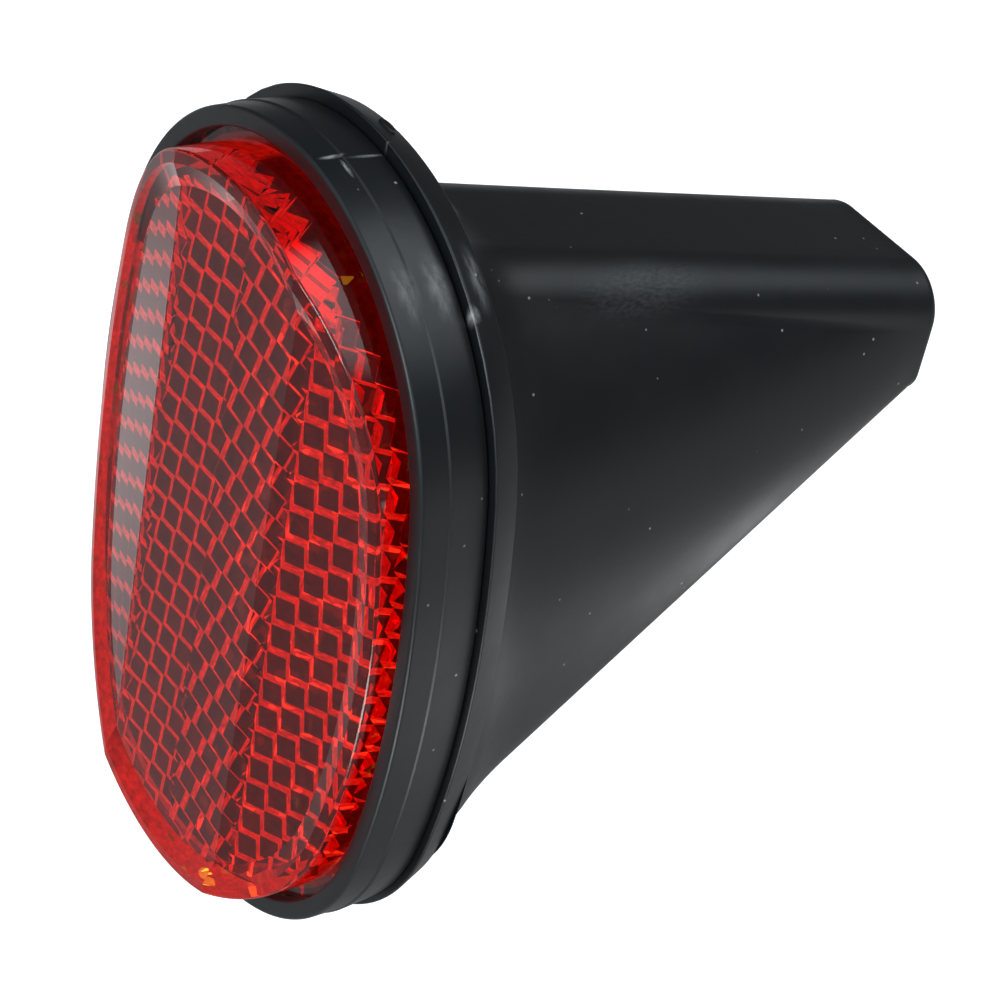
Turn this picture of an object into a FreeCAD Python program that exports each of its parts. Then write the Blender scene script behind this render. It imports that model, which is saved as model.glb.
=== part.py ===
import FreeCAD, Part
import math
import os
import re

import Sketcher

from FreeCAD import Placement, Rotation, Vector

# A red reflector for a bicycle's rear mudguard. The lens faces -Y, Z runs along its long axis and the hood
# tapers back along +Y. It is drawn with depth zero on the front face of the frame round the lens, on that
# frame's axis; at the end every piece is moved so that the origin lies on the fixing screw's axis, in the
# plane of the hood's flat underside.

doc = FreeCAD.newDocument("rear_reflector")

# Driving dimensions in millimetres. An inset is measured inwards from the frame's outer outline.
DIMENSIONS = {
    # outer outline of the frame, an oval of four arcs
    "half_width": 30.0,
    "half_height": 42.5,
    "flank_radius": 94.6,
    # frame round the lens
    "frame_depth": 7.2,
    "frame_wall": 1.2,
    "lip_width": 2.1,
    "lip_thickness": 1.4,
    "frame_crease": 3.1,
    "frame_draft": 4.3,
    "frame_edge_bevel": 0.3,
    # lens
    "lens_inset": 3.4,
    "lens_rise": 5.6,
    "lens_crease": 11.0,
    "lens_slope": 0.25,
    "rim_width": 2.4,
    "recess_depth": 1.0,
    "web_thickness": 1.6,
    "skirt_wall": 1.8,
    "foot_thickness": 1.6,
    "slide_gap": 0.15,
    # corner cubes on the back of the lens
    "cube_pitch": 3.3,
    "cube_root": 0.5,
    "cube_margin": 0.35,
    # hood: flange behind the frame, and the rib that holds the lens in
    "flange_thickness": 3.0,
    "flange_overhang": 0.6,
    "flange_draft": 21.0,
    "flange_lift": 0.4,
    "rib_wall": 1.5,
    # hood: neck, where it leaves the flange
    "flare_width": 3.2,
    "flare_depth": 3.2,
    "root_top": 32.8,
    "root_flat": 4.8,
    "root_shoulder": 7.5,
    "root_flank": 58.0,
    "root_corner": 14.0,
    "root_half_width": 24.7,
    "root_bottom": -29.0,
    # hood: neck, at its far end
    "neck_end": 74.7,
    "tip_top": 20.5,
    "tip_flat": 5.2,
    "tip_shoulder": 5.6,
    "tip_flank": 300.0,
    "tip_corner": 2.4,
    "tip_half_width": 10.8,
    "tip_bottom": 6.5,
    "tip_bevel": 1.2,
    "seat_trim": 0.3,
    "seat_front": 20.0,
    "seat_back": 46.0,
    "hood_wall": 2.2,
    # fixing in the slanted underside
    "screw_depth": 38.0,
    "screw_hole_radius": 2.75,
    "boss_radius": 7.5,
    "boss_floor": 3.0,
    "nut_width": 8.0,
    "nut_height": 4.0,
    "nut_gap": 0.1,
    "nut_bore_radius": 2.1,
}

# Sizes that follow from those above.
FOLLOWING = {
    "end_radius": "(2 * flank_radius * half_width - half_width^2 - half_height^2)"
                  " / (2 * (flank_radius - half_height))",
    "join_cos": "(flank_radius - half_width) / (flank_radius - end_radius)",
    "join_sin": "(half_height - end_radius) / (flank_radius - end_radius)",
    "lens_back": "lip_thickness + foot_thickness",
    "skirt_inset": "lens_inset + skirt_wall",
    "field_inset": "lens_inset + rim_width",
    "rib_inset": "frame_wall + slide_gap",
    "flange_back": "frame_depth + flange_thickness",
    "neck_start": "flange_back + flare_depth",
    "neck_stop": "neck_end - tip_bevel",
    "underside_rise": "(tip_bottom - root_bottom) / (neck_stop - neck_start)",
    "underside_angle": "atan(underside_rise) / 1deg",
    "screw_level": "underside_rise * (screw_depth - neck_start) + root_bottom",
    "boss_height": "boss_floor + nut_height",
}

# What follows for a section, with * for its name. It has a flat top, shoulder arcs, flank arcs, lower corner
# arcs and a flat bottom; a flank arc touches the shoulder arc above it and the corner arc below it.
SECTION = {
    "low_flat": "*_half_width - *_corner",
    "high": "*_top - *_shoulder",
    "base": "*_bottom - seat_trim",
    "low": "*_base + *_corner",
    "run": "*_low_flat - *_flat",
    "drop": "*_low - *_high",
    "span": "sqrt(*_run ^ 2 + *_drop ^ 2)",
    "upper": "*_flank - *_shoulder",
    "lower": "*_flank - *_corner",
    "along": "(*_span ^ 2 + *_upper ^ 2 - *_lower ^ 2) / (2 * *_span)",
    "across": "sqrt(*_upper ^ 2 - *_along ^ 2)",
    "centre_x": "*_flat + (*_along * *_run + *_across * *_drop) / *_span",
    "centre_z": "*_high + (*_along * *_drop - *_across * *_run) / *_span",
}
for section_name in ("root", "tip"):
    for key, formula in SECTION.items():
        FOLLOWING[f"{section_name}_{key}"] = re.sub(r"\*_", f"{section_name}_", formula)

# Where a hollow quarter round bends most, as a share of its radius.
BEND = 0.293

sheet = doc.addObject("Spreadsheet::Sheet", "Sizes")


def write_cells(cells, first_row, mark):
    """Write one named value a row, a plain number or, after the mark, a formula over the named values."""
    for row, (alias, content) in enumerate(cells.items(), start=first_row):
        sheet.set(f"A{row}", alias.replace("_", " "))
        sheet.set(f"B{row}", f"{mark}{content}")
        sheet.setAlias(f"B{row}", alias)
    return first_row + len(cells)


free_row = write_cells(DIMENSIONS, 1, "")
free_row = write_cells(FOLLOWING, free_row, "=")
doc.recompute()


def number(text):
    """The present value of an expression over the sheet's names."""
    value = sheet.evalExpression(text)
    return float(getattr(value, "Value", value))


def bound(text):
    """The same expression, as an object outside the sheet writes it."""
    names = {*DIMENSIONS, *FOLLOWING}
    return re.sub(r"\w+", lambda found: f"Sizes.{found[0]}" if found[0] in names else found[0], text)


def new_body(name):
    body = doc.addObject("PartDesign::Body", name)
    body.Label = name
    return body


def origin_plane(body, role):
    return next(item for item in body.Origin.OriginFeatures if item.Role == role)


def arc_through(start, end, radius):
    """An arc from start to end, anticlockwise, with its centre to the left of the way."""
    middle = (start + end) / 2
    chord = end - start
    left = Vector(-chord.y, chord.x, 0).normalize()
    centre = middle + left * math.sqrt(radius ** 2 - (chord.Length / 2) ** 2)
    first = math.atan2(start.y - centre.y, start.x - centre.x)
    last = math.atan2(end.y - centre.y, end.x - centre.x)
    return Part.ArcOfCircle(Part.Circle(centre, Vector(0, 0, 1), radius), first, last)


def hold(sketch, kind, places, text):
    """Add one measured constraint and bind it to its expression."""
    index = sketch.addConstraint(Sketcher.Constraint(kind, *places, abs(number(text))))
    sketch.setExpression(f"Constraints[{index}]", bound(f"abs({text})"))


def hold_point(sketch, edge, corner):
    """Fix the start of an edge at its two distances from the sketch's origin."""
    for kind, text in zip(("DistanceX", "DistanceY"), corner):
        if number(text) > 0:
            hold(sketch, kind, (-1, 1, edge, 1), text)
        else:
            hold(sketch, kind, (edge, 1, -1, 1), text)


def outline(body, name, plane, depth, corners, radii):
    """Sketch a closed outline, anticlockwise: an edge from each corner to the next, an arc where it has a
    radius and else a line. The sketch lies at a depth behind the plane XZ_Plane, or at a height over
    another plane."""
    sketch = body.newObject("Sketcher::SketchObject", name)
    sketch.AttachmentSupport = [(origin_plane(body, plane), "")]
    sketch.MapMode = "FlatFace"
    side = "-1 * " if plane == "XZ_Plane" else ""
    sketch.setExpression("AttachmentOffset.Base.z", bound(f"{side}({depth})"))
    points = [Vector(number(x), number(y), 0) for x, y in corners]
    for index, (start, radius) in enumerate(zip(points, radii)):
        end = points[(index + 1) % len(points)]
        edge = Part.LineSegment(start, end) if radius is None else arc_through(start, end, number(radius))
        sketch.addGeometry(edge, False)
    for index, radius in enumerate(radii):
        following = (index + 1) % len(points)
        sketch.addConstraint(Sketcher.Constraint("Coincident", index, 2, following, 1))
    for index, (corner, radius) in enumerate(zip(corners, radii)):
        hold_point(sketch, index, corner)
        if radius is not None:
            hold(sketch, "Radius", (index,), radius)
    return sketch


def oval(body, name, depth, inset):
    """Sketch the frame's outline, moved inwards by an inset, at a depth."""
    x = f"half_width - flank_radius + (flank_radius - ({inset})) * join_cos"
    z = f"(flank_radius - ({inset})) * join_sin"
    corners = [(x, f"-1 * {z}"), (x, z), (f"-1 * ({x})", z), (f"-1 * ({x})", f"-1 * {z}")]
    flank = f"flank_radius - ({inset})"
    end = f"end_radius - ({inset})"
    return outline(body, name, "XZ_Plane", depth, corners, [flank, end, flank, end])


def section(body, name, depth, end, growth):
    """Sketch the neck's section at its root or tip, moved outwards all round by a growth, at a depth."""
    flank = f"({end}_flank + ({growth}))"
    lower = f"{flank} / {end}_lower"
    upper = f"{flank} / {end}_upper"
    x, z = f"{end}_centre_x", f"{end}_centre_z"
    right = [
        (f"{end}_low_flat", f"{end}_base - ({growth})"),
        (f"{x} + ({end}_low_flat - {x}) * {lower}", f"{z} + ({end}_low - {z}) * {lower}"),
        (f"{x} + ({end}_flat - {x}) * {upper}", f"{z} + ({end}_high - {z}) * {upper}"),
        (f"{end}_flat", f"{end}_top + ({growth})"),
    ]
    left = [(f"-1 * ({x_place})", z_place) for x_place, z_place in reversed(right)]
    arcs = [f"{end}_{part} + ({growth})" for part in ("corner", "flank", "shoulder")]
    return outline(body, name, "XZ_Plane", depth, right + left, arcs + [None] + arcs[::-1] + [None])


def pad(body, name, sketch, length, draft=None):
    """Pad backwards, along +Y, from a sketch parallel to XZ_Plane."""
    feature = body.newObject("PartDesign::Pad", name)
    feature.Profile = sketch
    feature.Reversed = True
    feature.setExpression("Length", bound(length))
    if draft:
        feature.setExpression("TaperAngle", bound(draft))
    body.Tip = feature
    return feature


def pocket(body, name, sketch, length):
    """Cut backwards, along +Y, from a sketch parallel to XZ_Plane."""
    feature = body.newObject("PartDesign::Pocket", name)
    feature.Profile = sketch
    feature.setExpression("Length", bound(length))
    body.Tip = feature
    return feature


def outer_edge_at_front(body):
    """The edges of the body's outermost outline in its front face."""
    names = []
    for index, edge in enumerate(body.Tip.Shape.Edges, start=1):
        ends = [vertex.Point for vertex in edge.Vertexes]
        if all(abs(end.y) < 0.01 and not inside_oval(end, number("lip_width") / 2) for end in ends):
            names.append(f"Edge{index}")
    return names


def make_frame():
    """The black ring that holds the lens: a straight band, a drafted band and a lip turned inwards."""
    body = new_body("lens_frame")
    pad(body, "FrontBand", oval(body, "FrontOutline", "0", "0"), "frame_crease")
    pad(body, "RearBand", oval(body, "RearOutline", "frame_crease", "0"),
        "frame_depth - frame_crease", "-1 * frame_draft")
    opening = oval(body, "LensOpening", "0", "lip_width")
    pocket(body, "LensOpeningCut", opening, "frame_depth")
    chamber = oval(body, "LensChamber", "lip_thickness", "frame_wall")
    pocket(body, "LensChamberCut", chamber, "frame_depth - lip_thickness")
    doc.recompute()
    before = body.Tip
    edges = outer_edge_at_front(body)
    bevel = body.newObject("PartDesign::Chamfer", "FrontEdge")
    bevel.Base = (before, edges)
    bevel.setExpression("Size", bound("frame_edge_bevel"))
    body.Tip = bevel
    return body


def facet_block(name, setback, behind):
    """A block bounded by the lens's three facets moved back by a distance, all the space in front of them or
    behind them."""
    body = new_body(name)
    side = "half_width"
    level = f"{setback} - lens_rise"
    slant = f"{level} + lens_slope * (half_width - lens_crease)"
    facets = [
        (f"-1 * {side}", slant), ("-1 * lens_crease", level), ("lens_crease", level), (side, slant),
    ]
    if behind:
        corners = facets + [(side, "neck_end"), (f"-1 * {side}", "neck_end")]
    else:
        corners = [(f"-1 * {side}", "-1 * half_width"), (side, "-1 * half_width")] + facets[::-1]
    profile = outline(body, f"{name}Profile", "XY_Plane", "0", corners, [None] * len(corners))
    feature = body.newObject("PartDesign::Pad", f"{name}Pad")
    feature.Profile = profile
    feature.SideType = "Symmetric"
    feature.setExpression("Length", bound("3 * half_height"))
    body.Tip = feature
    return body


def oval_block(name, inset, start, end):
    body = new_body(name)
    pad(body, f"{name}Pad", oval(body, f"{name}Outline", start, inset), f"{end} - ({start})")
    return body


def both(kind, name, first, second):
    """A boolean of two shapes: Part::Cut, Part::Common or Part::Fuse."""
    result = doc.addObject(kind, name)
    result.Base = first
    result.Tool = second
    return result


def inside_oval(point, inset):
    """Whether a point lies inside the frame's outline moved inwards by an inset."""
    x, z = abs(point.x), abs(point.z)
    flank = Vector(number("half_width - flank_radius"), 0, 0)
    end = Vector(0, 0, number("half_height - end_radius"))
    corner = Vector(x, 0, z)
    along = end - flank
    on_end = along.x * (z - flank.z) - along.z * (x - flank.x) > 0
    if on_end:
        return (corner - end).Length < number("end_radius") - inset
    return (corner - flank).Length < number("flank_radius") - inset


def cube_corners(turn):
    """The corners round one cube's tip: three low ones and, between them, three halfway up."""
    reach = number("cube_pitch") / math.sqrt(3)
    rise = number("cube_pitch") / math.sqrt(6)
    ring = []
    for step in range(6):
        angle = math.radians(60 * step + turn)
        height = rise * (step % 2)
        ring.append(Vector(reach * math.cos(angle), reach * math.sin(angle), height))
    return ring, Vector(0, 0, 2 * rise)


def panel_centres(place, ring, low_x, high_x):
    """The cubes of a panel that fit whole inside the skirt and between two widths."""
    pitch = number("cube_pitch")
    inset = number("skirt_inset + cube_margin")
    reach = int(number("half_height") / pitch) + 2
    centres = []
    for row in range(-reach, reach + 1):
        for column in range(-2 * reach, 2 * reach + 1):
            centre = Vector(row * pitch * math.sqrt(3) / 2, (column + row % 2 / 2) * pitch, 0)
            corners = [place.multVec(centre + corner) for corner in ring]
            if all(low_x < c.x < high_x and inside_oval(c, inset) for c in corners):
                centres.append(centre)
    return centres


def cube_panel(name, place, turn, low_x, high_x):
    """A sheet of corner cubes, edge to edge, closed by short walls and a flat root sunk into the web."""
    ring, tip = cube_corners(turn)
    sunk = Vector(0, 0, number("cube_root"))
    faces = []
    rims = {}
    for centre in panel_centres(place, ring, low_x, high_x):
        for step in range(0, 6, 2):
            square = [tip, ring[step - 1], ring[step], ring[step + 1]]
            faces.append(Part.Face(Part.makePolygon([centre + c for c in square + square[:1]])))
        for step in range(6):
            ends = (centre + ring[step], centre + ring[(step + 1) % 6])
            keys = tuple((round(end.x, 3), round(end.y, 3)) for end in ends)
            if keys[::-1] in rims:
                del rims[keys[::-1]]
            else:
                rims[keys] = ends
    ways = {}
    for (here, there), (start, end) in rims.items():
        low_start, low_end = (Vector(p.x, p.y, 0) - sunk for p in (start, end))
        faces.append(Part.Face(Part.makePolygon([start, low_start, low_end, end, start])))
        ways[here] = (there, low_start)
    first = here = next(iter(ways))
    loop = []
    while not loop or here != first:
        here, corner = ways[here]
        loop.append(corner)
    faces.append(Part.Face(Part.makePolygon(loop + loop[:1])))
    shell = Part.Shell(faces)
    shell.sewShape()
    panel = doc.addObject("Part::Feature", name)
    panel.Shape = Part.Solid(shell)
    panel.Placement = place
    return panel


def make_cubes():
    """Three panels of corner cubes, one on the back of each facet."""
    crease = number("lens_crease")
    margin = number("cube_margin")
    edge = number("half_width")
    back = number("recess_depth + web_thickness - lens_rise")
    upright = Rotation(Vector(1, 0, 0), Vector(0, 0, 1), Vector(0, 1, 0), "XZY")
    slant = math.degrees(math.atan(number("lens_slope")))
    panels = [cube_panel("CubesCentre", Placement(Vector(0, back, 0), upright), 60, margin - crease,
                         crease - margin)]
    for name, side in (("CubesLeft", -1), ("CubesRight", 1)):
        lean = Rotation(Vector(0, 0, 1), side * slant)
        place = Placement(Vector(side * crease, back, 0), lean * upright)
        low, high = sorted((side * (crease + margin), side * edge))
        panels.append(cube_panel(name, place, 0, low, high))
    return panels


def make_lens():
    """The clear red moulding: a raised rim round a recessed front of three facets, a skirt and a foot behind
    the frame's lip, and corner cubes standing on the back of each facet."""
    front = "-1 * lens_rise"
    solid = oval_block("LensSolid", "lens_inset", front, "lens_back")
    shaped = both("Part::Common", "LensShaped", solid, facet_block("LensFacets", "0", True))
    foot = oval_block("LensFoot", "rib_inset", "lip_thickness", "lens_back")
    footed = both("Part::Fuse", "LensFooted", shaped, foot)
    recess = both(
        "Part::Common", "LensRecess",
        oval_block("RecessSolid", "field_inset", f"{front} - recess_depth", "lens_back"),
        facet_block("RecessFacets", "recess_depth", False),
    )
    hollow = both(
        "Part::Common", "LensHollow",
        oval_block("HollowSolid", "skirt_inset", front, "lens_back"),
        facet_block("HollowFacets", "(recess_depth + web_thickness)", True),
    )
    recessed = both("Part::Cut", "LensRecessed", footed, recess)
    shell = both("Part::Cut", "LensShell", recessed, hollow)
    lens = doc.addObject("Part::MultiFuse", "lens")
    lens.Shapes = [shell, *make_cubes()]
    lens.Label = "lens"
    return lens


def loft(body, kind, name, first, *others):
    """A straight-sided loft through two or more sections."""
    feature = body.newObject(kind, name)
    feature.Profile = first
    feature.Sections = list(others)
    feature.Ruled = True
    body.Tip = feature
    return feature


def make_hood_shell():
    """A drafted flange behind the frame, a rib that presses on the lens's foot and a hollow neck, closed at
    its far end, with a flat slanted underside."""
    body = new_body("HoodShell")
    flange = oval(body, "FlangeOutline", "frame_depth", "-1 * flange_overhang")
    flange.setExpression("AttachmentOffset.Base.y", bound("flange_lift"))
    pad(body, "Flange", flange, "flange_thickness", "-1 * flange_draft")
    flare = section(body, "FlareSection", "flange_back", "root", "flare_width")
    bend = section(body, "BendSection", f"flange_back + {BEND} * flare_depth", "root", f"{BEND} * flare_width")
    root = section(body, "RootSection", "neck_start", "root", "0")
    tip = section(body, "TipSection", "neck_stop", "tip", "0")
    bevel = section(body, "BevelSection", "neck_end", "tip", "-1 * tip_bevel")
    loft(body, "PartDesign::AdditiveLoft", "Neck", flare, bend, root, tip, bevel)
    pad(body, "Rib", oval(body, "RibOutline", "lens_back", "rib_inset"), "frame_depth - lens_back")
    inner = oval(body, "RibOpening", "lens_back", "rib_inset + rib_wall")
    pocket(body, "RibOpeningCut", inner, "frame_depth - lens_back")
    mouth = section(body, "HollowMouth", "frame_depth", "root", "-1 * hood_wall")
    throat = section(body, "HollowThroat", "neck_start", "root", "-1 * hood_wall")
    end = section(body, "HollowEnd", "neck_end - hood_wall", "tip", "-1 * hood_wall")
    loft(body, "PartDesign::SubtractiveLoft", "Hollow", mouth, throat, end)
    return body


def rod(name, radius, start, length):
    """A cylinder on the screw's axis, from a height over the underside, inwards."""
    cylinder = doc.addObject("Part::Cylinder", name)
    cylinder.setExpression("Radius", bound(radius))
    cylinder.setExpression("Height", bound(length))
    on_screw_axis(cylinder, start)
    return cylinder


def hexagon(name, width, start, length):
    """A six-sided prism on the screw's axis, by its width across flats."""
    prism = doc.addObject("Part::Prism", name)
    prism.Polygon = 6
    prism.setExpression("Circumradius", bound(f"({width}) / sqrt(3)"))
    prism.setExpression("Height", bound(length))
    on_screw_axis(prism, start)
    return prism


def on_screw_axis(item, start):
    """Stand an object on the screw's axis, square to the underside, at a height over it."""
    tilt = "underside_angle * 1deg"
    item.Placement.Rotation = Rotation(Vector(1, 0, 0), number("underside_angle"))
    item.setExpression("Placement.Rotation.Angle", bound(tilt))
    item.setExpression("Placement.Base.y", bound(f"screw_depth - sin({tilt}) * ({start})"))
    item.setExpression("Placement.Base.z", bound(f"screw_level + cos({tilt}) * ({start})"))


def seat_block():
    """The space outside the seat plane, over the length of the seat, to trim the underside flat."""
    block = doc.addObject("Part::Box", "SeatTrim")
    tilt = "underside_angle * 1deg"
    block.Placement.Rotation = Rotation(Vector(1, 0, 0), number("underside_angle"))
    block.setExpression("Length", bound("2 * half_width"))
    block.setExpression("Width", bound("seat_front + seat_back"))
    block.setExpression("Height", bound("boss_height"))
    block.setExpression("Placement.Rotation.Angle", bound(tilt))
    block.setExpression("Placement.Base.x", bound("-1 * half_width"))
    block.setExpression("Placement.Base.y", bound(
        f"screw_depth - cos({tilt}) * seat_front + sin({tilt}) * boss_height"))
    block.setExpression("Placement.Base.z", bound(
        f"screw_level - sin({tilt}) * seat_front - cos({tilt}) * boss_height"))
    return block


def make_hood():
    """The hood's shell, trimmed flat where it sits, with a boss inside its underside: a hole for the screw and
    a pocket for the nut."""
    boss = rod("Boss", "boss_radius", "0", "boss_height")
    trimmed = both("Part::Cut", "HoodTrimmed", make_hood_shell(), seat_block())
    solid = both("Part::Fuse", "HoodSolid", trimmed, boss)
    drilled = both("Part::Cut", "HoodDrilled", solid, rod("ScrewHole", "screw_hole_radius", "-1 * boss_floor",
                                                          "3 * boss_floor"))
    pocket_width = "nut_width + 2 * nut_gap"
    hood = both("Part::Cut", "hood", drilled, hexagon("NutPocket", pocket_width, "boss_floor", "2 * nut_height"))
    hood.Label = "hood"
    return hood


def make_nut():
    """The hexagon nut pressed into the boss's pocket, bored to its thread's inner diameter."""
    blank = hexagon("NutBlank", "nut_width", "boss_floor", "nut_height")
    bore = rod("NutBore", "nut_bore_radius", "0", "2 * boss_height")
    nut = both("Part::Cut", "captive_nut", blank, bore)
    nut.Label = "captive_nut"
    return nut


def check(items):
    """Stop the build when any object failed to compute or a piece is not one valid solid."""
    for item in doc.Objects:
        if {"Invalid", "Error"} & set(item.State):
            raise RuntimeError(f"{item.Name} failed: {item.State}")
    for piece in items:
        if piece.Shape.isNull() or not piece.Shape.isValid() or len(piece.Shape.Solids) != 1:
            raise RuntimeError(f"{piece.Label} is not one valid solid")


pieces = [make_lens(), make_frame(), make_hood(), make_nut()]
for piece in pieces:
    piece.setExpression("Placement.Base.y", bound("-1 * screw_depth"))
    piece.setExpression("Placement.Base.z", bound("-1 * screw_level"))
doc.recompute()
check(pieces)
os.makedirs("parts", exist_ok=True)
for piece in pieces:
    piece.Shape.exportStep(f"parts/{piece.Label}.step")
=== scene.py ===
import math

import bmesh
import bpy
import numpy as np
from mathutils import Matrix, Vector


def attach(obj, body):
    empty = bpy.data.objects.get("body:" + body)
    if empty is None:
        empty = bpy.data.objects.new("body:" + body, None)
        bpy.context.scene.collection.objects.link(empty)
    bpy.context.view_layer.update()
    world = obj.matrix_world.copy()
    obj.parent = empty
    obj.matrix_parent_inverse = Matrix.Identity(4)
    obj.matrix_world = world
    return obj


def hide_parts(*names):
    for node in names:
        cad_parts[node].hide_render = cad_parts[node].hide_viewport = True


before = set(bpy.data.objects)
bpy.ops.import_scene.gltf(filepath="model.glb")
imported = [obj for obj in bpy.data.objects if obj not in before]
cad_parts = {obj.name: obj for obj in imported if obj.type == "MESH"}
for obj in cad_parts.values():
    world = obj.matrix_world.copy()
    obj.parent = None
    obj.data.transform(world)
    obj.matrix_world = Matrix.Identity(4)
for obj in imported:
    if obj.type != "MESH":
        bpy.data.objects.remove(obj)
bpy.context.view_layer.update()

# Places are worked out in millimetres with depth zero on the front face of the ring and height zero at its
# middle, and moved to the row's origin, on the fixing screw, when a mesh is made.
ROW_ORIGIN = np.array([0.0, 38.0, -14.4692])

# The ring's outline: half sizes, radius of the flanks, radius of the ends, and the normal's angle where the
# two meet.
HALF_WIDTH, HALF_HEIGHT, FLANK = 30.0, 42.5, 94.6
END = (2 * FLANK * HALF_WIDTH - HALF_WIDTH**2 - HALF_HEIGHT**2) / (2 * (FLANK - HALF_HEIGHT))
JOIN = math.asin((HALF_HEIGHT - END) / (FLANK - END))

# Samples along a flank and along an end of the outline, and the samples on the creases and at the middle of
# each end, anticlockwise from the one on the lower right crease.
SIDE_STEPS, END_STEPS = 72, 48
UPPER_RIGHT, TOP, UPPER_LEFT, LOWER_LEFT, LOW = (
    SIDE_STEPS, SIDE_STEPS + END_STEPS // 2, SIDE_STEPS + END_STEPS, 2 * SIDE_STEPS + END_STEPS,
    2 * SIDE_STEPS + END_STEPS + END_STEPS // 2)

# The lens, as the source draws it: its creases, the lean of its side facets, how far it stands proud, insets
# and depths of its edges, depth of its recess, thickness of its window and pitch of the cube corners.
CREASE, SLOPE, RISE = 11.0, 0.25, 5.6
LENS_INSET, SKIRT_INSET, FOOT_INSET = 3.4, 5.2, 1.35
LIP_BACK, LENS_BACK = 1.4, 3.0
RECESS, WEB, PITCH = 1.0, 1.6, 3.3

# Turn of the cube corners in each field from left to right, and the field on the left of each step in depth.
CUBE_TURN = (0, 105, 90, 0)
STEP_LEFT = {-CREASE: 0, 0.0: 1, CREASE: 2}

# The lens's materials by index, and the strips from its skirt to its front edge that are like the walls.
CELLS, WALLS = 1, 2
WALL_STRIPS = 6

# Neck sections at the root and the tip: top, flat, shoulder, flank, corner, half width, bottom.
ROOT = (32.8, 4.8, 7.5, 58.0, 14.0, 24.7, -29.0)
TIP = (20.5, 5.2, 5.6, 300.0, 2.4, 10.8, 6.5)
# Depths of the ring's back, the flange's back and the two sections, the tip's rounded edge, the neck's wall,
# and how much higher the flange sits than the ring.
FRAME_BACK, FLANGE_BACK, NECK_START, NECK_STOP, TIP_EDGE = 7.2, 10.2, 13.4, 73.5, 1.2
NECK_END = NECK_STOP + TIP_EDGE
WALL, FLANGE_LIFT = 2.2, 0.4

# The flare between the flange and the neck: length, width, how much wider it is over the neck's top, and the
# heights between which it widens.
FLARE_LENGTH, FLARE_WIDTH, FLARE_EXTRA = 10.0, 3.6, 0.75
FLARE_LOW, FLARE_HIGH = 20.0, 32.0

# Profiles swept round the outline: inset, depth, and radius of the corner there. The rim's depths are behind
# the lens's front.
RIM = [(LENS_INSET, LIP_BACK, 0.0), (LENS_INSET, 0.0, 0.35), (LENS_INSET + 1.3, 0.0, 0.15),
       (LENS_INSET + 3.5, RECESS, 0.0)]
FLANGE = [(1.6, FRAME_BACK, 0.0), (-0.45, FRAME_BACK, 0.0), (-0.6, 7.32, 0.15), (0.55, FLANGE_BACK, 0.2),
          (0.75, FLANGE_BACK, 0.0)]
RIB = [(2.85, FRAME_BACK, 0.0), (2.85, LENS_BACK, 0.0), (1.35, LENS_BACK, 0.0), (1.35, FRAME_BACK, 0.0)]
RING = [(1.2, FRAME_BACK, 0.0), (1.2, LIP_BACK, 0.0), (2.1, LIP_BACK, 0.0), (2.1, 0.0, 0.25),
        (0.14, 0.0, 0.4), (0.14, 2.9, 0.04), (0.0, 3.1, 0.08), (0.31, 6.95, 0.1), (0.62, FRAME_BACK, 0.0),
        (1.2, FRAME_BACK, 0.0)]

# The flash nub on top of the flange and the gate mark on the tip's edge: place and half sizes.
BEADS = [((0.0, 9.2, 42.85), (1.4, 0.4, 0.22)), ((5.6, 73.6, 19.6), (0.8, 0.9, 0.6))]

# The screw's hole, the sectors that its surroundings are cut into, and the depths between which they lie.
HOLE_RADIUS, HOLE_DEPTH, SECTORS = 2.75, 7.0, 48
FIELD_START, FIELD_END = 26.0, 50.0

# Rows of the flare, the neck and the tip's edge, and samples of an arc of the neck's section, its flat top,
# the flange's bottom and the full outline.
FLARE_ROWS, NECK_ROWS, TIP_ROWS = 17, 25, 7
ARC_SAMPLES, FLAT_SAMPLES, BOTTOM_SAMPLES, OUTLINE_SAMPLES = 21, 8, 25, 1441

# Differences that count as none: between numbers, between depths or heights, in an edge's length, and between
# a place and a crease.
EQUAL, FLUSH, SHORT, SAME = 1e-9, 1e-6, 1e-5, 1e-4


# Outlines and sweeps


def oval(angle, inset):
    """The ring's outline moved inwards, by the direction of its normal: x, z = centre + radius (cos, sin)."""
    cosine, sine = np.cos(angle), np.sin(angle)
    flank = np.abs(sine) < math.sin(JOIN)
    radius = np.where(flank, FLANK, END) - inset
    x = np.where(flank, np.sign(cosine) * (HALF_WIDTH - FLANK), 0.0) + radius * cosine
    z = np.where(flank, 0.0, np.sign(sine) * (HALF_HEIGHT - END)) + radius * sine
    return np.stack([x, z], 1)


def angles(inset):
    """Normal directions round the outline, with one sample exactly on each crease line x = +-CREASE."""
    crease = math.acos(CREASE / (END - inset))
    stops = [-crease, crease, math.pi - crease, math.pi + crease, 2 * math.pi - crease]
    runs = zip(stops, stops[1:], (SIDE_STEPS, END_STEPS, SIDE_STEPS, END_STEPS))
    return np.concatenate([np.linspace(start, end, count, endpoint=False) for start, end, count in runs])


def level(x):
    """Depth of the lens's outer surface: flat to the creases, then back by SLOPE per millimetre."""
    return -RISE + SLOPE * np.maximum(np.abs(x) - CREASE, 0.0)


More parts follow.
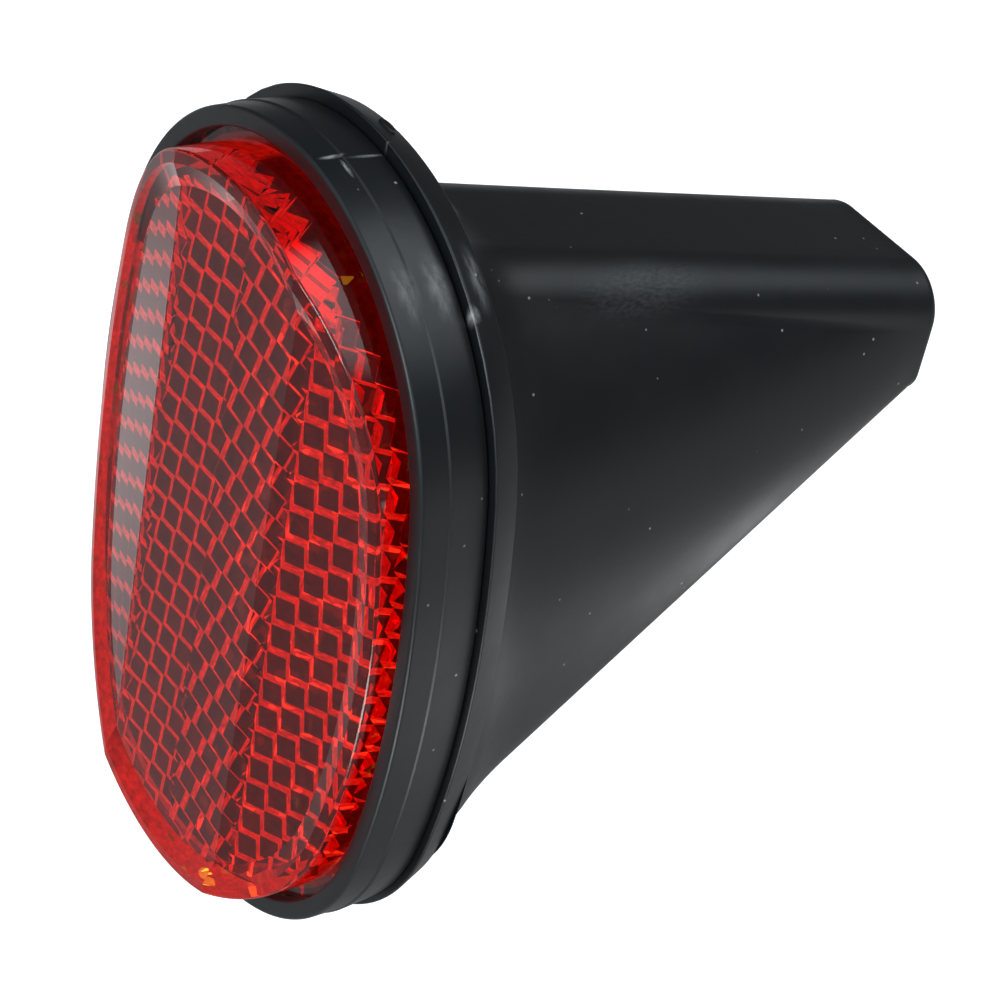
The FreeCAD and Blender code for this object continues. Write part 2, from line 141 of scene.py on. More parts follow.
def rounded(path, steps=9):
    """A path of (a, b, radius) corners with each corner turned into an arc of its radius."""
    out = []
    for i, (a, b, radius) in enumerate(path):
        corner = np.array([a, b])
        if radius <= 0 or i in (0, len(path) - 1):
            out.append(corner)
            continue
        before, after = np.array(path[i - 1][:2]) - corner, np.array(path[i + 1][:2]) - corner
        before, after = before / np.linalg.norm(before), after / np.linalg.norm(after)
        half = math.acos(np.clip(before @ after, -1, 1)) / 2
        bisector = (before + after) / np.linalg.norm(before + after)
        centre = corner + bisector * radius / math.sin(half)
        start = corner + before * radius / math.tan(half) - centre
        end = corner + after * radius / math.tan(half) - centre
        turn = math.acos(np.clip(start @ end / radius**2, -1, 1))
        for share in np.arange(steps + 1) / steps:
            arc = start * math.sin((1 - share) * turn) + end * math.sin(share * turn)
            out.append(centre + arc / math.sin(turn))
    return [tuple(point) for point in out]


class Mesh:
    """Vertices and faces gathered for one piece. A face's kind is the index of its material, and 0 if none
    is given."""

    def __init__(self):
        self.points, self.faces, self.kinds, self.count = [], [], {}, 0

    def add(self, points):
        first = self.count
        self.points.append(np.asarray(points, float))
        self.count += len(points)
        return np.arange(first, self.count)

    def strip(self, rows, closed=True, flip=False, kinds=()):
        """Quads between following rows of equal length; kinds gives the material of the first strips."""
        rows = [self.add(row) for row in rows]
        for step, (near, far) in enumerate(zip(rows, rows[1:])):
            count = len(near)
            for i in range(count if closed else count - 1):
                j = (i + 1) % count
                quad = [near[i], near[j], far[j], far[i]]
                if step < len(kinds):
                    self.kinds[len(self.faces)] = kinds[step]
                self.faces.append(quad[::-1] if flip else quad)

    def polygon(self, points, toward, kind=0):
        """One face whose normal points toward a direction."""
        points = np.asarray(points, float)
        normal = np.cross(points, np.roll(points, -1, 0)).sum(0)
        if kind:
            self.kinds[len(self.faces)] = kind
        self.faces.append(list(self.add(points if normal @ np.asarray(toward) > 0 else points[::-1])))

    def object(self, name, materials, sharp=28.0, merge=1e-6):
        """The Blender object in metres: smooth up to an angle in degrees, and merged by distance."""
        mesh = bpy.data.meshes.new(name)
        for material in materials:
            mesh.materials.append(material)
        points = (np.concatenate(self.points) - ROW_ORIGIN) / 1000
        mesh.from_pydata(points.tolist(), [], [[int(i) for i in face] for face in self.faces])
        for index, kind in self.kinds.items():
            mesh.polygons[index].material_index = kind
        merged = bmesh.new()
        merged.from_mesh(mesh)
        bmesh.ops.remove_doubles(merged, verts=merged.verts, dist=merge)
        merged.to_mesh(mesh)
        merged.free()
        mesh.shade_smooth()
        mesh.set_sharp_from_angle(angle=math.radians(sharp))
        obj = bpy.data.objects.new(name, mesh)
        bpy.context.scene.collection.objects.link(obj)
        return obj


def ring_row(inset, depth):
    """The outline at an inset, at a depth that may be a function of x."""
    plan = oval(angles(max(inset, 0.0)), inset)
    y = depth(plan[:, 0]) if callable(depth) else np.full(len(plan), depth)
    return np.stack([plan[:, 0], y, plan[:, 1]], 1)


# Corner cubes


def clip(polygon, region):
    """A polygon (n x 3) cut to a convex region (m x 2, anticlockwise in x, z)."""
    for a, b in zip(region, np.roll(region, -1, 0)):
        if len(polygon) < 3:
            return polygon
        edge = b - a
        side = edge[0] * (polygon[:, 2] - a[1]) - edge[1] * (polygon[:, 0] - a[0])
        if side.min() >= -EQUAL:
            continue
        out = []
        for i in range(len(polygon)):
            j = (i + 1) % len(polygon)
            if side[i] >= -EQUAL:
                out.append(polygon[i])
            if min(side[i], side[j]) < -EQUAL and max(side[i], side[j]) > EQUAL:
                share = side[i] / (side[i] - side[j])
                out.append(polygon[i] + share * (polygon[j] - polygon[i]))
        polygon = np.array(out) if out else np.zeros((0, 3))
    return polygon


def cube_squares(turn):
    """The three squares of a cube corner that meet at its tip, in the lattice's plane and depth. Round a tip
    at 2 PITCH / sqrt 6 six corners lie PITCH / sqrt 3 away, low and halfway up by turns."""
    reach, rise = PITCH / math.sqrt(3), PITCH / math.sqrt(6)
    corners = []
    for k in range(6):
        angle = math.radians(60 * k + turn)
        corners.append((reach * math.cos(angle), reach * math.sin(angle), rise * (k % 2)))
    return [((0, 0, 2 * rise), corners[k - 1], corners[k], corners[k + 1]) for k in (0, 2, 4)]


def cube_sheet(side, turn, region):
    """A sheet of cube corners edge to edge, cut to a region. The lattice is turned by an angle in degrees,
    and leans back with the facet on its side of the lens: -1 left, 0 middle and 1 right."""
    swing, lean = math.radians(turn), math.atan(SLOPE) * side
    across = np.array([math.cos(lean), math.sin(lean), 0.0])
    back = np.array([-math.sin(lean), math.cos(lean), 0.0])
    start = np.array([CREASE * side, RECESS + WEB - RISE, 0.0])

    def place(u, v, depth):
        return start + u * across + v * np.array([0, 0, 1.0]) + depth * back

    rows, margin = 24, 6.0
    low, high = region.min(0) - margin, region.max(0) + margin
    squares = cube_squares(turn)
    out = []
    for row in range(-rows, rows + 1):
        for column in range(-rows, rows + 1):
            far, up = row * PITCH * math.sqrt(3) / 2, (column + row % 2 / 2) * PITCH
            u = far * math.cos(swing) - up * math.sin(swing)
            v = far * math.sin(swing) + up * math.cos(swing)
            x, _, z = place(u, v, 0)
            if not (low[0] < x < high[0] and low[1] < z < high[1]):
                continue
            for square in squares:
                cut = clip(np.array([place(u + a, v + b, c) for a, b, c in square]), region)
                cut = cut[np.linalg.norm(cut - np.roll(cut, 1, 0), axis=1) > SHORT]
                if len(cut) >= 3:
                    out.append(cut)
    return out


def open_edges(sheet):
    """Edges that only one polygon of a sheet uses."""
    seen = {}
    for polygon in sheet:
        for ends in zip(polygon, np.roll(polygon, -1, 0)):
            key = tuple(sorted(tuple(np.round(point, 4)) for point in ends))
            seen.setdefault(key, []).append(ends)
    return [uses[0] for uses in seen.values() if len(uses) == 1]


# Lens


def lens_front(mesh):
    """Skirt, foot, the raised rim with its rounded edge, and the recess with its three flat facets."""
    rows = [ring_row(SKIRT_INSET, LENS_BACK), ring_row(FOOT_INSET, LENS_BACK), ring_row(FOOT_INSET, LIP_BACK),
            ring_row(LENS_INSET, LIP_BACK)]
    rows += [ring_row(inset, lambda x, d=drop: level(x) + d) for inset, drop in rounded(RIM)[1:]]
    mesh.strip(rows, kinds=[WALLS] * WALL_STRIPS)
    edge = rows[-1]
    right, left = range(UPPER_RIGHT + 1), range(UPPER_LEFT, LOWER_LEFT + 1)
    middle = [*range(UPPER_RIGHT, UPPER_LEFT + 1), *range(LOWER_LEFT, len(edge)), 0]
    for facet in (right, left, middle):
        mesh.polygon(edge[list(facet)], (0, -1, 0))


def cube_fields():
    """The four fields of cube corners from left to right: the side of the lens, and the region in x, z."""
    plan = oval(angles(SKIRT_INSET), SKIRT_INSET)
    return [(-1, plan[UPPER_LEFT: LOWER_LEFT + 1]),
            (0, np.concatenate([plan[TOP: UPPER_LEFT + 1], plan[LOWER_LEFT: LOW + 1]])),
            (0, np.concatenate([plan[UPPER_RIGHT: TOP + 1], plan[LOW:], plan[:1]])),
            (1, plan[: UPPER_RIGHT + 1])]


def line_depth(line, z):
    """Depth at a height on a line of straight runs, or None where it has no run."""
    for (low, start), (high, end) in line:
        if low - FLUSH <= z <= high + FLUSH and high - low > FLUSH:
            return start + (end - start) * (z - low) / (high - low)
    return None


def stretch_ends(line, low, high):
    """Depths at both ends of a stretch of a line, carried on from inside it, since the line jumps between
    cube corners, or None where it has no run."""
    middle = line_depth(line, (low + high) / 2)
    if middle is None:
        return None
    half = line_depth(line, (low + 3 * high) / 4) - line_depth(line, (3 * low + high) / 4)
    return middle - half, middle + half


def fill_step(mesh, x, edges):
    """The wall between two fields that meet at x: a quad between their depth lines in each stretch of z."""
    lines = {True: [], False: []}
    for on_left, *ends in edges:
        lines[on_left].append(sorted((point[2], point[1]) for point in ends))
    marks = sorted({round(z, 5) for line in lines.values() for run in line for z, _ in run})
    for low, high in zip(marks, marks[1:]):
        left, right = stretch_ends(lines[True], low, high), stretch_ends(lines[False], low, high)
        if left is None or right is None:
            continue
        gaps = [left[0] - right[0], left[1] - right[1]]
        if max(abs(gap) for gap in gaps) < FLUSH:
            continue
        quad = [(x, left[0], low), (x, left[1], high), (x, right[1], high), (x, right[0], low)]
        mesh.polygon(quad, (1 if sum(gaps) > 0 else -1, 0, 0))


def build_lens(materials):
    """One clear moulding: its front, the four fields of cube corners, and the walls behind their edges."""
    mesh = Mesh()
    lens_front(mesh)
    steps = {x: [] for x in STEP_LEFT}
    for place, (side, region) in enumerate(cube_fields()):
        sheet = cube_sheet(side, CUBE_TURN[place], region)
        for polygon in sheet:
            mesh.polygon(polygon, (0, 1, 0), kind=CELLS)
        for p, q in open_edges(sheet):
            line = [x for x in steps if abs(p[0] - x) < SAME and abs(q[0] - x) < SAME]
            if line:
                steps[line[0]].append((place == STEP_LEFT[line[0]], p, q))
                continue
            foot = [(x, LENS_BACK, z) for x, _, z in (q, p)]
            mesh.polygon([p, q, *foot], (-p[0], 0, -p[2]), kind=WALLS)
    for x, edges in steps.items():
        fill_step(mesh, x, edges)
    return mesh.object("lens_clear", materials, sharp=12.0, merge=2e-8)


# Ring


def build_ring(material):
    """The ring: lip, straight front band, fine step and drafted rear band."""
    mesh = Mesh()
    mesh.strip([ring_row(inset, depth) for inset, depth in rounded(RING)])
    return mesh.object("ring", [material])


# Hood


def neck(section, growth):
    """Points round a neck section, anticlockwise from the lower right: corner arc, flank arc, shoulder arc
    and flat top, and the same on the left. Segments match from section to section, so rows join straight."""
    top, flat, shoulder, flank, corner, half, bottom = section
    low_flat, high, low = half - corner, top - shoulder, bottom + corner
    run, drop = low_flat - flat, low - high
    span, upper, lower = math.hypot(run, drop), flank - shoulder, flank - corner
    along = (span**2 + upper**2 - lower**2) / (2 * span)
    across = math.sqrt(upper**2 - along**2)
    centre_x = flat + (along * run + across * drop) / span
    centre_z = high + (along * drop - across * run) / span
    foot = math.atan2(low - centre_z, low_flat - centre_x)
    join = math.atan2(high - centre_z, flat - centre_x)
    arcs = []
    for x, z, radius, start, end in ((low_flat, low, corner, -math.pi / 2, foot),
                                     (centre_x, centre_z, flank, foot, join),
                                     (flat, high, shoulder, join, math.pi / 2)):
        turn, reach = np.linspace(start, end, ARC_SAMPLES), radius + growth
        arcs.append(np.stack([x + reach * np.cos(turn), z + reach * np.sin(turn)], 1))
    right = np.concatenate([arcs[0], arcs[1][1:], arcs[2][1:]])
    flat_top = np.linspace(right[-1], right[-1] * [-1, 1], FLAT_SAMPLES)[1:-1]
    return np.concatenate([right, flat_top, right[::-1] * [-1, 1]])


def neck_row(section, growth, depth):
    """A neck section, grown outwards, at a depth."""
    plan = neck(section, growth)
    return np.stack([plan[:, 0], np.full(len(plan), depth), plan[:, 1]], 1)


def outline_beside(row, inset, depth):
    """The outline's points in the same directions from the middle as a row's points."""
    plan = oval(np.linspace(0, 2 * math.pi, OUTLINE_SAMPLES), inset)
    turn = np.unwrap(np.arctan2(plan[:, 1], plan[:, 0]))
    want = np.arctan2(row[:, 2], row[:, 0]) % (2 * math.pi)
    want = (want - turn[0]) % (2 * math.pi)
    x, z = (np.interp(want, turn - turn[0], plan[:, k]) for k in (0, 1))
    return np.stack([x, np.full(len(x), depth), z], 1)


def across_bottom(ends, inset, depth):
    """The outline below the neck, from the left lower edge's direction to the right one's."""
    start, end = (math.atan2(z, x) for x, _, z in ends)
    turn = np.linspace(start, end, BOTTOM_SAMPLES)
    way = np.stack([np.cos(turn), np.zeros(len(turn)), np.sin(turn)], 1)
    return outline_beside(way, inset, depth) + [0, 0, FLANGE_LIFT]


def outline_to(row, like):
    """A closed row resampled in the directions of another row's points."""
    turn = np.unwrap(np.arctan2(row[:, 2], row[:, 0]))
    loop = np.concatenate([row, row[:1]])
    turn = np.append(turn, turn[0] + 2 * math.pi)
    want = np.arctan2(like[:, 2], like[:, 0])
    want = turn[0] + (want - turn[0]) % (2 * math.pi)
    return np.stack([np.interp(want, turn, loop[:, k]) for k in range(3)], 1)


def flare_rows(root, tip):
    """A quarter ellipse from the flange to the neck: outward width (1 - sin), depth length (1 - cos)."""
    outward = neck_row(ROOT, 1.0, 0.0) - neck_row(ROOT, 0.0, 0.0)
    high = np.clip((root[:, 2] - FLARE_LOW) / (FLARE_HIGH - FLARE_LOW), 0, 1)
    width = FLARE_WIDTH * (1.0 + FLARE_EXTRA * high)
    rows = []
    for turn in np.linspace(0, math.pi / 2, FLARE_ROWS):
        depth = FLANGE_BACK + FLARE_LENGTH * (1 - math.cos(turn))
        share = max(0.0, (depth - NECK_START) / (NECK_STOP - NECK_START))
        row = root + (tip - root) * share + outward * (width * (1 - math.sin(turn)))[:, None]
        row[:, 1] = depth
        rows.append(row)
    return rows


def bead(mesh, centre, radii):
    """A small rounded nub: centre + radii * (cos v cos u, sin v, cos v sin u)."""
    u = np.linspace(0, 2 * math.pi, 13)[:-1]
    rows = [np.stack([np.cos(v) * np.cos(u), np.full(len(u), np.sin(v)), np.cos(v) * np.sin(u)], 1)
            for v in np.linspace(-1.5, 1.5, 9)]
    mesh.strip([row * radii + centre for row in rows], flip=True)


def reach_border(centre, way, border):
    """Distance from a centre along a direction to the border round it."""
    best = math.inf
    for p, q in zip(border, np.roll(border, -1, 0)):
        (distance, share), *_ = np.linalg.lstsq(np.stack([way, p - q], 1), p - centre, rcond=None)
        if distance > 0 and -EQUAL <= share <= 1 + EQUAL:
            best = min(best, distance)
    return best


def screw_field(mesh, border):
    """A flat part of the underside in sectors round the screw's hole, and the hole's wall. A corner of the
    border joins the sector whose two outer ends it sees more than a right angle apart."""
    slant = (border[3] - border[0]) * [0, 1, 1]
    slant = slant / np.linalg.norm(slant)
    inward = np.array([0, -slant[2], slant[1]])
    hole, outer = [], []
    for k in range(SECTORS):
        turn = (2 * k + 1) * math.pi / SECTORS
        way = np.array([math.cos(turn), 0, 0]) + slant * math.sin(turn)
        hole.append(ROW_ORIGIN + HOLE_RADIUS * way)
        outer.append(ROW_ORIGIN + reach_border(ROW_ORIGIN, way, border) * way)
    for k in range(SECTORS):
        j = (k + 1) % SECTORS
        corners = [corner for corner in border if (outer[k] - corner) @ (outer[j] - corner) < 0]
        mesh.polygon([hole[k], hole[j], outer[j], *corners, outer[k]], -inward)
    hole = np.array(hole)
    mesh.strip([hole, hole + HOLE_DEPTH * inward], flip=True)


def underside(mesh, lower):
    """The flat strip under the neck between the left and right lower edges, with the screw's hole in it."""
    field = [i for i, row in enumerate(lower) if FIELD_START < row[0][1] < FIELD_END]
    for i, (near, far) in enumerate(zip(lower, lower[1:])):
        if not (i in field and i + 1 in field):
            mesh.polygon([near[0], near[1], far[1], far[0]], (0, 0.5, -1))
    near, far = lower[field[0]], lower[field[-1]]
    screw_field(mesh, np.array([near[0], near[1], far[1], far[0]]))


def hood_inside(mesh):
    """The hollow of the neck, the rib that presses on the lens's foot, and the flange's front face."""
    rows = [neck_row(ROOT, -WALL, FRAME_BACK), neck_row(ROOT, -WALL, NECK_START),
            neck_row(TIP, -WALL, NECK_END - WALL)]
    mesh.strip(rows, flip=True)
    mesh.polygon(rows[-1], (0, -1, 0))
    mesh.strip([ring_row(inset, depth) for inset, depth in rounded(RIB)])
    plate = ring_row(FLANGE[0][0], FRAME_BACK)
    mesh.strip([outline_to(rows[0], plate), plate])


def build_hood(material):
    """Flange, flare and neck with its rounded tip, then bottom, underside, inside and nubs."""
    mesh = Mesh()
    root = neck_row(ROOT, 0.0, NECK_START)
    tip = [neck_row(TIP, -TIP_EDGE * (1 - math.cos(turn)), NECK_STOP + TIP_EDGE * math.sin(turn))
           for turn in np.linspace(0, math.pi / 2, TIP_ROWS)]
    flare = flare_rows(root, tip[0])
    flare_end = (FLANGE_BACK + FLARE_LENGTH - NECK_START) / (NECK_STOP - NECK_START)
    body = [root + (tip[0] - root) * share for share in np.linspace(flare_end, 1, NECK_ROWS)[1:]]
    outside = [*flare, *body, *tip[1:]]
    edge = rounded(FLANGE, 6)
    lower = [row[[-1, 0]] for row in outside]
    flange = [outline_beside(flare[0], inset, depth) + [0, 0, FLANGE_LIFT] for inset, depth in edge]
    mesh.strip([*flange, *outside], closed=False)
    mesh.polygon(outside[-1], (0, 1, 0))
    bottom = [across_bottom(lower[0], inset, depth) for inset, depth in edge]
    mesh.strip(bottom, closed=False)
    mesh.polygon([*bottom[-1], flare[0][0], flare[0][-1]], (0, 1, 0))
    underside(mesh, lower)
    hood_inside(mesh)
    for centre, radii in BEADS:
        bead(mesh, centre, radii)
    return mesh.object("hood_shell", [material])


# Materials

RED, BLACK, PALE, ZINC, LIT_RED = "#f01414", "#0e1114", "#c8cacc", "#b9bcc0", "#ff5a3c"
ACRYLIC_IOR = 1.49

# Pale spots: three scuffs, then painted highlights on the ring, the flange and the flare, and a faint
# painted sheen on the neck's ridge. Place and half sizes in mm from the screw, strength, grain.
SCUFFS_AND_PAINTED_HIGHLIGHTS = [
    ((2.6, -36.0, 56.9), (0.35, 1.6, 1.5), 0.80, 1.5),
    ((4.4, -35.4, 56.6), (1.5, 0.3, 1.5), 0.70, 1.5),
    ((3.2, -32.6, 57.2), (0.3, 2.8, 1.5), 0.60, 1.5),
    ((16.6, -35.8, 51.6), (3.6, 1.5, 5.5), 0.22, 2.0),
    ((16.6, -32.6, 51.6), (3.6, 1.7, 5.5), 0.30, 2.0),
    ((17.0, -28.9, 52.0), (3.6, 1.2, 5.5), 0.40, 2.0),
    ((-2.5, -20.5, 46.0), (3.8, 2.4, 4.0), 0.95, 0.8),
    ((9.3, -3.0, 41.0), (4.0, 12.0, 4.0), 0.07, 14.0),
    ((19.7, -30.6, 50.0), (0.9, 1.0, 1.6), 0.75, 1.5),
]


def srgb(text):
    """Linear colour from an sRGB hex code."""
    values = [int(text[i: i + 2], 16) / 255 for i in (1, 3, 5)]
    return tuple(v / 12.92 if v <= 0.04045 else ((v + 0.055) / 1.055) ** 2.4 for v in values) + (1.0,)


def new_material(name):
    """An empty node material and its tree."""
    material = bpy.data.materials.new(name)
    material.use_nodes = True
    material.node_tree.nodes.clear()
    return material, material.node_tree


def node(tree, kind, links=None, **values):
    """Add a node, set its properties or input values by name, and link its inputs."""
    made = tree.nodes.new(kind)
    for key, value in values.items():
        if hasattr(made, key):
            setattr(made, key, value)
        else:
            made.inputs[key.replace("_", " ")].default_value = value
    for key, source in (links or {}).items():
        tree.links.new(source, made.inputs[key])
    return made


def total_of(tree, parts):
    """The sum of several values."""
    total = parts[0]
    for part in parts[1:]:
        total = node(tree, "ShaderNodeMath", {0: total, 1: part}, operation="ADD").outputs[0]
    return total


def scuffs_and_painted_highlights(tree, place):
    """Pale spots, the scuffs and the painted highlights: soft ellipsoids, each broken up by noise stretched
    along the spot, and fine specks of dust all over."""
    parts = []
    for centre, size, power, scale in SCUFFS_AND_PAINTED_HIGHLIGHTS:
        local = node(tree, "ShaderNodeMapping", {"Vector": place}, vector_type="TEXTURE",
                     Location=[c / 1000 for c in centre], Scale=[c / 1000 for c in size])
        away = node(tree, "ShaderNodeVectorMath", {0: local.outputs[0]}, operation="LENGTH")
        spot = node(tree, "ShaderNodeMapRange", {"Value": away.outputs["Value"]},
                    interpolation_type="SMOOTHSTEP", From_Min=0.2, From_Max=1.0, To_Min=power, To_Max=0.0)
        noise = node(tree, "ShaderNodeTexNoise", {"Vector": local.outputs[0]}, Scale=scale, Detail=3.0,
                     Roughness=0.6)
        rough = node(tree, "ShaderNodeMapRange", {"Value": noise.outputs["Fac"]}, From_Min=0.3, From_Max=0.75)
        parts.append(node(tree, "ShaderNodeMath", {0: spot.outputs["Result"], 1: rough.outputs["Result"]},
                          operation="MULTIPLY").outputs[0])
    specks = node(tree, "ShaderNodeTexVoronoi", {"Vector": place}, Scale=330.0)
    speck = node(tree, "ShaderNodeMapRange", {"Value": specks.outputs["Distance"]}, From_Min=0.03,
                 From_Max=0.06, To_Min=0.5, To_Max=0.0)
    return total_of(tree, [*parts, speck.outputs["Result"]])


def black_plastic():
    """Satin black moulding: dark, a broad soft highlight broken by fine grain, pale scuffs and painted
    highlights.
    """
    material, tree = new_material("black_plastic")
    place = node(tree, "ShaderNodeTexCoord").outputs["Object"]
    scuffs_and_highlights = scuffs_and_painted_highlights(tree, place)
    grain = node(tree, "ShaderNodeTexNoise", {"Vector": place}, Scale=900.0, Detail=4.0)
    haze = node(tree, "ShaderNodeTexNoise", {"Vector": place}, Scale=60.0, Detail=6.0, Roughness=0.65)
    spread = node(tree, "ShaderNodeMapRange", {"Value": haze.outputs["Fac"]}, From_Min=0.3, From_Max=0.75,
                  To_Min=0.28, To_Max=0.45)
    bump = node(tree, "ShaderNodeBump", {"Height": grain.outputs["Fac"]}, Strength=0.06, Distance=0.0002)
    # Pale where the scuffs, the dust and the painted highlights lie.
    tone = node(tree, "ShaderNodeMix", {"Factor": scuffs_and_highlights}, data_type="RGBA", clamp_factor=True,
                A=srgb(BLACK), B=srgb(PALE))
    shader = node(tree, "ShaderNodeBsdfPrincipled", {"Base Color": tone.outputs["Result"],
                  "Roughness": spread.outputs["Result"], "Normal": bump.outputs["Normal"]})
    node(tree, "ShaderNodeOutputMaterial", {"Surface": shader.outputs["BSDF"]})
    return material


def clear_red(tree):
    """Glossy clear acrylic, deep red where light comes back through it."""
    return node(tree, "ShaderNodeBsdfPrincipled", Base_Color=srgb(RED), Roughness=0.01, IOR=ACRYLIC_IOR,
                Transmission_Weight=1.0).outputs["BSDF"]


def red_acrylic():
    """The lens's front: clear red with sharp reflections."""
    material, tree = new_material("red_acrylic")
    node(tree, "ShaderNodeOutputMaterial", {"Surface": clear_red(tree)})
    return material


def spots_of_light(tree, place, start, boost):
    """Painted glints: spots where coarse noise passes a start, and their added power: 0 on the left, boost on
    the right.
    """
    coarse = node(tree, "ShaderNodeTexVoronoi", {"Vector": place}, Scale=800.0)
    pick = node(tree, "ShaderNodeSeparateColor", {"Color": coarse.outputs["Color"]})
    spot = node(tree, "ShaderNodeMapRange", {"Value": pick.outputs["Red"]}, From_Min=start,
                From_Max=start + 0.02)
    side = node(tree, "ShaderNodeSeparateXYZ", {"Vector": place})
    right = node(tree, "ShaderNodeMapRange", {"Value": side.outputs["X"]}, From_Min=0.003, From_Max=0.006,
                 To_Max=boost)
    extra = node(tree, "ShaderNodeMath", {0: spot.outputs["Result"], 1: right.outputs["Result"]},
                 operation="MULTIPLY")
    return spot.outputs["Result"], extra.outputs[0]


def red_acrylic_facets(name, power, cover, tint, tint_start, boost):
    """The inner faces: where one would reflect totally, a painted red glow stands in for the light it sends
    back;
    elsewhere it is a dark window. power and cover give the least and most of the glow and of its share. A few
    spots have the tint, as painted glints of lamps caught in the facets."""
    material, tree = new_material(name)
    place = node(tree, "ShaderNodeTexCoord").outputs["Object"]
    spot, extra = spots_of_light(tree, place, tint_start, boost)
    fine = node(tree, "ShaderNodeTexNoise", {"Vector": place}, Scale=1100.0, Detail=3.0, Roughness=0.7)
    base = node(tree, "ShaderNodeMapRange", {"Value": fine.outputs["Fac"]}, From_Min=0.35, From_Max=0.68,
                To_Min=power[0], To_Max=power[1])
    colour = node(tree, "ShaderNodeMix", {"Factor": spot}, data_type="RGBA", A=srgb(LIT_RED), B=srgb(tint))
    strength = node(tree, "ShaderNodeMath", {0: base.outputs["Result"], 1: extra}, operation="ADD")
    # Emission: painted red light and painted glints, not a lamp.
    glow = node(tree, "ShaderNodeEmission", {"Color": colour.outputs["Result"],
                "Strength": strength.outputs[0]})
    inside = node(tree, "ShaderNodeNewGeometry").outputs["Backfacing"]
    total = node(tree, "ShaderNodeFresnel", IOR=ACRYLIC_IOR)
    share = node(tree, "ShaderNodeMapRange", {"Value": total.outputs[0]}, From_Min=0.25, From_Max=0.9,
                 To_Min=cover[0], To_Max=cover[1])
    both = node(tree, "ShaderNodeMath", {0: inside, 1: share.outputs["Result"]}, operation="MULTIPLY")
    mix = node(tree, "ShaderNodeMixShader", {0: both.outputs[0], 1: clear_red(tree), 2: glow.outputs[0]})
    node(tree, "ShaderNodeOutputMaterial", {"Surface": mix.outputs[0]})
    return material


def zinc_steel():
    """Zinc-plated steel of the hidden nut: pale, blurred metal."""
    material, tree = new_material("zinc_steel")
    shader = node(tree, "ShaderNodeBsdfPrincipled", Base_Color=srgb(ZINC), Metallic=1.0, Roughness=0.35)
    node(tree, "ShaderNodeOutputMaterial", {"Surface": shader.outputs["BSDF"]})
    return material


# The object

plastic = black_plastic()
# Both inner lens materials glow with painted red light and painted glints.
cells = red_acrylic_facets("red_acrylic_cells", (0.40, 1.15), (0.07, 0.85), "#ff8a50", 0.9, 1.0)
walls = red_acrylic_facets("red_acrylic_walls", (0.32, 0.80), (0.10, 0.75), "#90ff30", 0.965, 9.0)
lens = build_lens([red_acrylic(), cells, walls])
ring = build_ring(plastic)
hood = build_hood(plastic)
for piece, node_name, slot_name in ((lens, "lens", "red_lens"), (ring, "lens_frame", "black_frame"),
                                    (hood, "hood", "black_hood")):
    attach(piece, "root")
    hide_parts(node_name)
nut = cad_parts["captive_nut"]
nut.data.materials.clear()
nut.data.materials.append(zinc_steel())


# Studio

# Soft boxes: direction, where the patch starts and is full (cosines), and its radiance.
SOFT_BOXES = [
    ((0.25, 0.52, 0.82), 0.86, 0.97, 2.0),
    ((0.34, -0.84, 0.39), 0.965, 0.985, 8.0),
    ((0.30, -0.75, 0.60), 0.20, 0.90, 0.9),
]
ROOM, ROOM_COLOUR = 0.10, (0.9, 0.96, 1.0, 1.0)

FLOOR_LEVEL, FLOOR_HALF, FLOOR_GLOW, FLOOR_COLOUR = -0.07, 4.0, 1.0, (0.35, 0.35, 0.35, 1.0)
# Patches of the floor that shine up at the object: x, y, where each is full and where it ends in metres, and
# radiance.
FLOOR_PATCHES = [
    (0.0, 0.0, 3.0, 4.0, 0.07),
    (-0.15, 0.0, 0.02, 0.09, 0.55),
    (0.13, 0.07, 0.02, 0.10, 0.9),
    (0.03, 0.115, 0.0, 0.05, 1.3),
    (0.54, 0.33, 0.05, 0.20, 2.5),
    (0.11, -0.10, 0.01, 0.05, 9.0),
]

# The photograph's viewpoint in mm, fitted to the ring's outline, with the picture's directions.
CAMERA_PLACE = (181.94764, -118.80042, 162.87992)
CAMERA_RIGHT = (0.5289675, 0.83173814, 0.16853797)
CAMERA_UP = (-0.56864717, 0.19996482, 0.7979063)
CAMERA_BACK = (0.62994744, -0.51790515, 0.57874043)
SENSOR_WIDTH, FOCAL_LENGTH = 36.0, 101.45


def build_world():
    """A dim studio with soft boxes: each is a smooth patch of light round a direction."""
    world = bpy.data.worlds.new("studio")
    bpy.context.scene.world = world
    world.use_nodes = True
    tree = world.node_tree
    tree.nodes.clear()
    look = node(tree, "ShaderNodeTexCoord").outputs["Generated"]
    parts = []
    for direction, start, end, power in SOFT_BOXES:
        dot = node(tree, "ShaderNodeVectorMath", {0: look}, operation="DOT_PRODUCT")
        dot.inputs[1].default_value = Vector(direction).normalized()
        parts.append(node(tree, "ShaderNodeMapRange", {"Value": dot.outputs["Value"]}, From_Min=start,
                          From_Max=end, To_Max=power, interpolation_type="SMOOTHSTEP").outputs["Result"])
    strength = node(tree, "ShaderNodeMath", {0: total_of(tree, parts)}, operation="ADD")
    strength.inputs[1].default_value = ROOM
    background = node(tree, "ShaderNodeBackground", {"Strength": strength.outputs[0]}, Color=ROOM_COLOUR)
    node(tree, "ShaderNodeOutputWorld", {"Surface": background.outputs["Background"]})


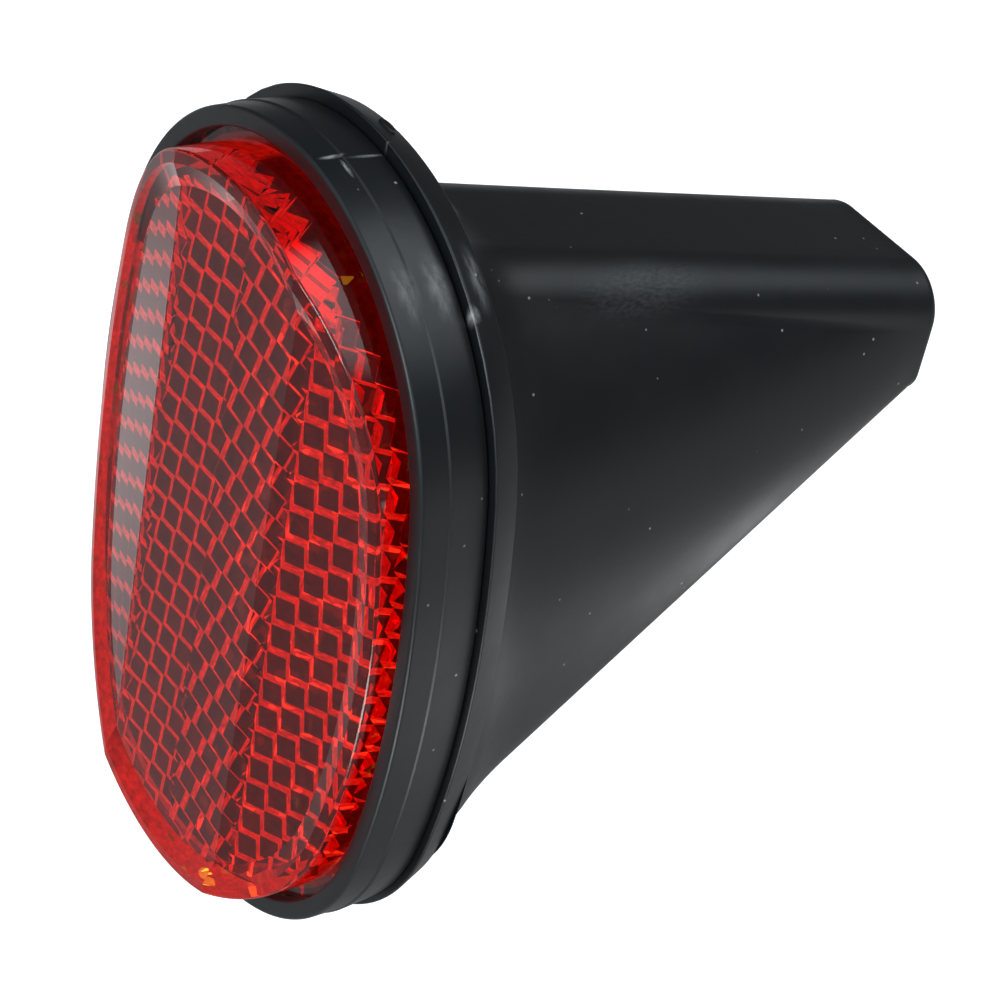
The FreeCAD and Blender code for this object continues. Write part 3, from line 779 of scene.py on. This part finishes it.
def floor_material():
    """Even white to the camera. What the object mirrors of it is dim, with a few bright patches."""
    material, tree = new_material("white_floor")
    diffuse = node(tree, "ShaderNodeBsdfDiffuse", Color=FLOOR_COLOUR)
    place = node(tree, "ShaderNodeTexCoord").outputs["Object"]
    parts = []
    for x, y, start, end, power in FLOOR_PATCHES:
        away = node(tree, "ShaderNodeVectorMath", {0: place}, operation="DISTANCE")
        away.inputs[1].default_value = (x, y, FLOOR_LEVEL)
        parts.append(node(tree, "ShaderNodeMapRange", {"Value": away.outputs["Value"]}, From_Min=start,
                          From_Max=end, To_Min=power, To_Max=0.0,
                          interpolation_type="SMOOTHSTEP").outputs["Result"])
    seen = node(tree, "ShaderNodeLightPath").outputs["Is Camera Ray"]
    power = node(tree, "ShaderNodeMapRange", {"Value": seen, "To Min": total_of(tree, parts)},
                 To_Max=FLOOR_GLOW)
    glow = node(tree, "ShaderNodeEmission", {"Strength": power.outputs["Result"]})
    both = node(tree, "ShaderNodeAddShader", {0: diffuse.outputs[0], 1: glow.outputs[0]})
    node(tree, "ShaderNodeOutputMaterial", {"Surface": both.outputs[0]})
    return material


def build_floor():
    """A plain white floor under the object."""
    mesh = bpy.data.meshes.new("floor")
    signs = ((-1, -1), (1, -1), (1, 1), (-1, 1))
    mesh.from_pydata([(x * FLOOR_HALF, y * FLOOR_HALF, FLOOR_LEVEL) for x, y in signs], [], [(0, 1, 2, 3)])
    mesh.materials.append(floor_material())
    floor = bpy.data.objects.new("floor", mesh)
    bpy.context.scene.collection.objects.link(floor)


def build_camera():
    """The camera at the photograph's viewpoint."""
    data = bpy.data.cameras.new("camera")
    data.sensor_width = SENSOR_WIDTH
    data.lens = FOCAL_LENGTH
    data.clip_start = 0.01
    camera = bpy.data.objects.new("camera", data)
    place = (Vector(CAMERA_PLACE) - Vector(ROW_ORIGIN)) / 1000
    turn = Matrix((CAMERA_RIGHT, CAMERA_UP, CAMERA_BACK)).transposed()
    camera.matrix_world = Matrix.Translation(place) @ turn.to_4x4()
    bpy.context.scene.collection.objects.link(camera)
    bpy.context.scene.camera = camera


build_world()
build_floor()
build_camera()
bpy.context.scene.view_settings.view_transform = "Standard"
